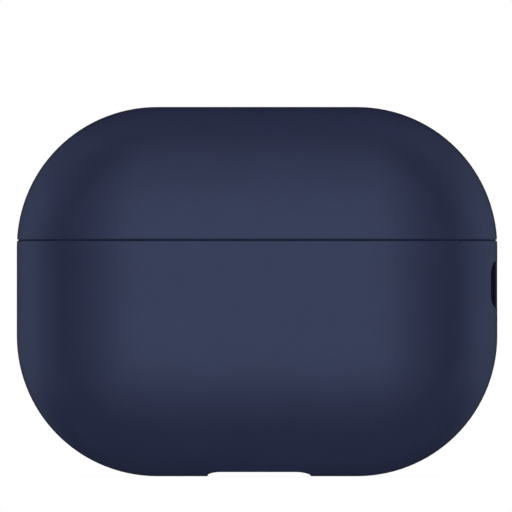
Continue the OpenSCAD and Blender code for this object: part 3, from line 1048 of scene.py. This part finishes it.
LOOKS = {
    "cover_navy": cover_look(),
    # bar_dark is painted shade: the bar is the cover's navy, and this near-black stands in for the shade of the
    # cord slot it bridges
    "bar_dark": plastic("bar_plastic_painted_shade", (0.0012, 0.0022, 0.014), 0.4, 0.1, 0.5, 0.12),
    "adhesive_foam": plastic("adhesive_foam", (0.32, 0.34, 0.38), 0.8, 0.2, 12, 0.2),
    "case_plastic": plastic("graphite_case_plastic", (0.02, 0.022, 0.034), 0.24, 0.3, 0.4, 0.5),
    "liner_plastic": plastic("slate_liner_plastic", (0.075, 0.085, 0.12), 0.42, 0.12, 0.8, 0.4),
    "steel_satin": metal("satin_steel", (0.42, 0.43, 0.46), 0.3, (0.05, 4, 4)),
    "screw_steel": metal("zinc_steel", (0.36, 0.37, 0.39), 0.35),
    "magnet_nickel": metal("nickel", (0.6, 0.58, 0.55), 0.2),
    "battery_pouch": plastic("battery_foil", (0.06, 0.065, 0.075), 0.38, 0.4, 6, 0.6),
    "circuit_board": plastic("green_solder_mask", (0.012, 0.085, 0.035), 0.3, 0.8, 3, 0.5),
    "chip_black": plastic("chip_epoxy", (0.01, 0.01, 0.011), 0.55, 0.06, 3, 0.4),
    "flex_amber": plastic("amber_film", (0.33, 0.12, 0.02), 0.3, 0.5, 1.5, 0.5),
    "copper_wire": metal("enamelled_copper", (0.72, 0.3, 0.13), 0.25),
    "ferrite": plastic("ferrite", (0.03, 0.03, 0.034), 0.7, 0.08, 4, 0.3),
    "contact_gold": metal("gold_plate", (0.85, 0.58, 0.24), 0.2),
    "earbud_plastic": plastic("earbud_plastic", (0.022, 0.028, 0.066), 0.16, 0.5, 0.2, 0.6),
    "tip_silicone": rubber("tip_silicone", (0.03, 0.033, 0.046)),
    "mesh_steel": metal("woven_mesh", (0.14, 0.14, 0.15), 0.4, None, 6.0),
    "driver_metal": metal("driver_can", (0.3, 0.29, 0.28), 0.35),
    "cell_steel": metal("cell_can", (0.55, 0.56, 0.6), 0.28),
    "clear_plastic": plastic("light_pipe_acrylic", (0.55, 0.58, 0.62), 0.1, 0.5, 0.3, 0.5),
    "lamp_ceramic": plastic("lamp_package", (0.7, 0.68, 0.6), 0.5, 0.2, 2, 0.4),
    "button_plastic": plastic("button_plastic", (0.045, 0.05, 0.07), 0.3, 0.2, 0.5, 0.5),
    "switch_steel": metal("switch_steel", (0.5, 0.5, 0.52), 0.3),
}


def finish_piece(obj, body, slot, *replaced):
    obj.data.materials.clear()
    obj.data.materials.append(LOOKS[slot].mat)
    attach(obj, body)
    if replaced:
        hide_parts(*replaced)


def dress_cad():
    """Gives every CAD node the look of its material slot."""
    slots = {part["node"]: part["material_slot"] for part in frame["record"]["subparts"]}
    for name, obj in NODES.items():
        obj.data.materials.clear()
        obj.data.materials.append(LOOKS[slots[name]].mat)


# ---- Studio ----------------------------------------------------------------------------
class NodeKit:
    """Short forms for building one node tree."""

    def __init__(self, tree):
        self.nodes, self.links = tree.nodes, tree.links
        self.nodes.clear()

    def make(self, kind, *inputs, **settings):
        made = self.nodes.new(kind)
        for key, value in settings.items():
            setattr(made, key, value)
        for socket, value in zip(made.inputs, inputs):
            if isinstance(value, bpy.types.NodeSocket):
                self.links.new(value, socket)
            elif value is not None:
                socket.default_value = value
        return made

    def maths(self, operation, a, b=None):
        return self.make("ShaderNodeMath", a, b, operation=operation).outputs[0]

    def blend(self, a, b, c):
        """a times b plus c."""
        return self.make("ShaderNodeMath", a, b, c, operation="MULTIPLY_ADD").outputs[0]

    def curve(self, angle, stops):
        """Brightness over an angle in radians, eased between (degrees, brightness) stops."""
        made = self.make("ShaderNodeValToRGB")
        ramp = made.color_ramp
        ramp.interpolation = "EASE"
        first, span = stops[0][0], stops[-1][0] - stops[0][0]
        while len(ramp.elements) < len(stops):
            ramp.elements.new(0.5)
        for element, (degrees, value) in zip(ramp.elements, stops):
            element.position = (degrees - first) / span
            element.color = (value, value, value, 1)
        part = self.blend(angle, 180 / math.pi / span, -first / span)
        self.links.new(part, made.inputs["Fac"])
        return self.make("ShaderNodeRGBToBW", made.outputs["Color"]).outputs[0]


# Brightness of the studio as the glossy surfaces mirror it, round and above the camera.
AROUND_STOPS = [(0, 1.06), (12, 1.06), (23, 0.42), (35, 0.0), (56, 0.0), (76, 0.25), (98, 0.43),
                (115, 0.36), (132, 0.22), (152, 0.11), (168, 0.0), (180, 0.0)]
HEIGHT_STOPS = [(-90, 0.0), (-36, 0.0), (-26, 0.38), (-14, 1.0), (17, 1.0), (26, 0.71), (38, 0.41),
                (50, 0.33), (74, 0.08), (90, 0.0)]
BOX_TINT = (0.66, 0.8, 1.12)
BOX_FILL = 0.02
SOFT_LIGHT = 1.0
SOFT_RISE = 0.2


def world_light():
    """A soft box round the camera, seen by mirrors only, and an even soft light for the rest.

    Both keep their place round the camera, so that every side is lit like the front.
    """
    world = bpy.data.worlds.new("studio")
    bpy.context.scene.world = world
    world.use_nodes = True
    world.cycles.sampling_method = "NONE"
    kit = NodeKit(world.node_tree)
    where = kit.make("ShaderNodeTexCoord").outputs["Generated"]
    seen_from = kit.make("ShaderNodeVectorTransform", where, vector_type="VECTOR",
                         convert_from="WORLD", convert_to="CAMERA")
    right, up, ahead = kit.make("ShaderNodeSeparateXYZ", seen_from.outputs[0]).outputs
    around = kit.maths("ARCTAN2", kit.maths("ABSOLUTE", right), kit.maths("MULTIPLY", ahead, -1.0))
    height = kit.maths("ARCSINE", up)
    box = kit.blend(kit.curve(around, AROUND_STOPS), kit.curve(height, HEIGHT_STOPS), BOX_FILL)
    soft = kit.blend(up, SOFT_RISE, SOFT_LIGHT)
    path = kit.make("ShaderNodeLightPath")
    mirrored = kit.make("ShaderNodeBackground", (*BOX_TINT, 1), box)
    even = kit.make("ShaderNodeBackground", (1, 1, 1, 1), soft)
    white = kit.make("ShaderNodeBackground", (1, 1, 1, 1))
    lit = kit.make("ShaderNodeMixShader", path.outputs["Is Diffuse Ray"],
                   mirrored.outputs[0], even.outputs[0])
    seen = kit.make("ShaderNodeMixShader", path.outputs["Is Camera Ray"],
                    lit.outputs[0], white.outputs[0])
    kit.make("ShaderNodeOutputWorld", seen.outputs[0])


FLOOR_SHADOW = 0.965
FLOOR_SHADOW_REACH = 8 * MM
FLOOR_DROP = 0.02 * MM


def floor():
    """White floor that only shows a faint contact shadow, and is clear from below."""
    mesh = bpy.data.meshes.new("floor")
    size = 2.0
    mesh.from_pydata([(-size, -size, 0), (size, -size, 0), (size, size, 0), (-size, size, 0)],
                     [], [(0, 1, 2, 3)])
    obj = link("floor", mesh)
    obj.location.z = -FLOOR_DROP
    obj.visible_glossy = obj.visible_diffuse = obj.visible_shadow = False
    mat = bpy.data.materials.new("pale_floor")
    mat.use_nodes = True
    kit = NodeKit(mat.node_tree)
    near = kit.make("ShaderNodeAmbientOcclusion")
    near.inputs["Distance"].default_value = FLOOR_SHADOW_REACH
    grey = kit.make("ShaderNodeMapRange", near.outputs["AO"], 0.0, 1.0, FLOOR_SHADOW, 1.0)
    glow = kit.make("ShaderNodeEmission", None, grey.outputs[0])
    below = kit.make("ShaderNodeNewGeometry").outputs["Backfacing"]
    clear = kit.make("ShaderNodeBsdfTransparent")
    both = kit.make("ShaderNodeMixShader", below, glow.outputs[0], clear.outputs[0])
    kit.make("ShaderNodeOutputMaterial", both.outputs[0])
    mesh.materials.append(mat)


def studio():
    bpy.context.scene.view_settings.view_transform = "Standard"
    world_light()
    floor()


# Share of the picture's width that the body fills, and how far the camera stands off its middle.
BODY_SHARE = 0.9386
CAMERA_LEFT, CAMERA_UP = 0.14, 4.8


def camera():
    """Long lens straight on to the front, a little above the middle."""
    lens, sensor = 1000.0, 36.0
    picture_w = 2 * HALF_W * MM / BODY_SHARE
    distance = picture_w / sensor * lens
    data = bpy.data.cameras.new("camera")
    data.lens, data.sensor_width = lens, sensor
    data.clip_start, data.clip_end = 0.01, 10
    cam = bpy.data.objects.new("camera", data)
    cam.location = (-CAMERA_LEFT * MM, -distance, (HEIGHT / 2 + CAMERA_UP) * MM)
    cam.rotation_euler = (math.pi / 2, 0, 0)
    bpy.context.scene.collection.objects.link(cam)
    bpy.context.scene.camera = cam


# ---- Assembly --------------------------------------------------------------------------
def covers_and_case():
    finish_piece(cover_base(), "base", "cover_navy", "cover_base")
    finish_piece(cover_lid(), "lid", "cover_navy", "cover_lid")
    # The bar takes the near-black bar_dark look, which is painted shade from the cord slot and not the bar's own
    # colour
    finish_piece(lanyard_bar(), "base", "bar_dark", "lanyard_bar")
    finish_piece(case_base_shell(), "base", "case_plastic", "case_base_shell")
    finish_piece(case_lid_shell(), "lid", "case_plastic", "case_lid_shell")
    finish_piece(setup_button(), "button", "button_plastic", "setup_button")
    finish_piece(cradle(), "base", "liner_plastic", "cradle_insert")
    finish_piece(softened("lid_liner", 0.3, 4), "lid", "liner_plastic", "lid_liner")


def earbuds():
    for name, side in SIDES.items():
        housing = softened(name + "_earbud_housing", 0.2, 8)
        finish_piece(housing, "base", "earbud_plastic", name + "_earbud_housing")
        tip = ear_tip(name + "_silicone_tip", side)
        finish_piece(tip, "base", "tip_silicone", name + "_ear_tip")
        grid = perforated(name + "_nozzle_grid", 1.67, 10.3, 10.55, nozzle_frame(side))
        finish_piece(grid, "base", "mesh_steel", name + "_nozzle_mesh")
        vent = perforated(name + "_vent_grid", 1.85, 7.22, 7.52, vent_frame(side))
        finish_piece(vent, "base", "mesh_steel", name + "_vent_mesh")


def works():
    finish_piece(port_shell(), "base", "steel_satin", "port_connector_shell")
    finish_piece(port_contacts(), "base", "contact_gold")
    finish_piece(charging_coil(), "base", "copper_wire", "charging_coil")
    finish_piece(battery(), "base", "battery_pouch", "battery")
    for node in ("base_hinge_leaf", "lid_hinge_leaf", "hinge_pin", "base_hinge_screws", "lid_hinge_screws"):
        rounded_edges(node, 0.06)
    for node in ("base_closure_magnets", "lid_closure_magnets", "earbud_holding_magnets", "main_board_chips"):
        rounded_edges(node, 0.15, 3)


dress_cad()
covers_and_case()
earbuds()
works()
studio()
camera()
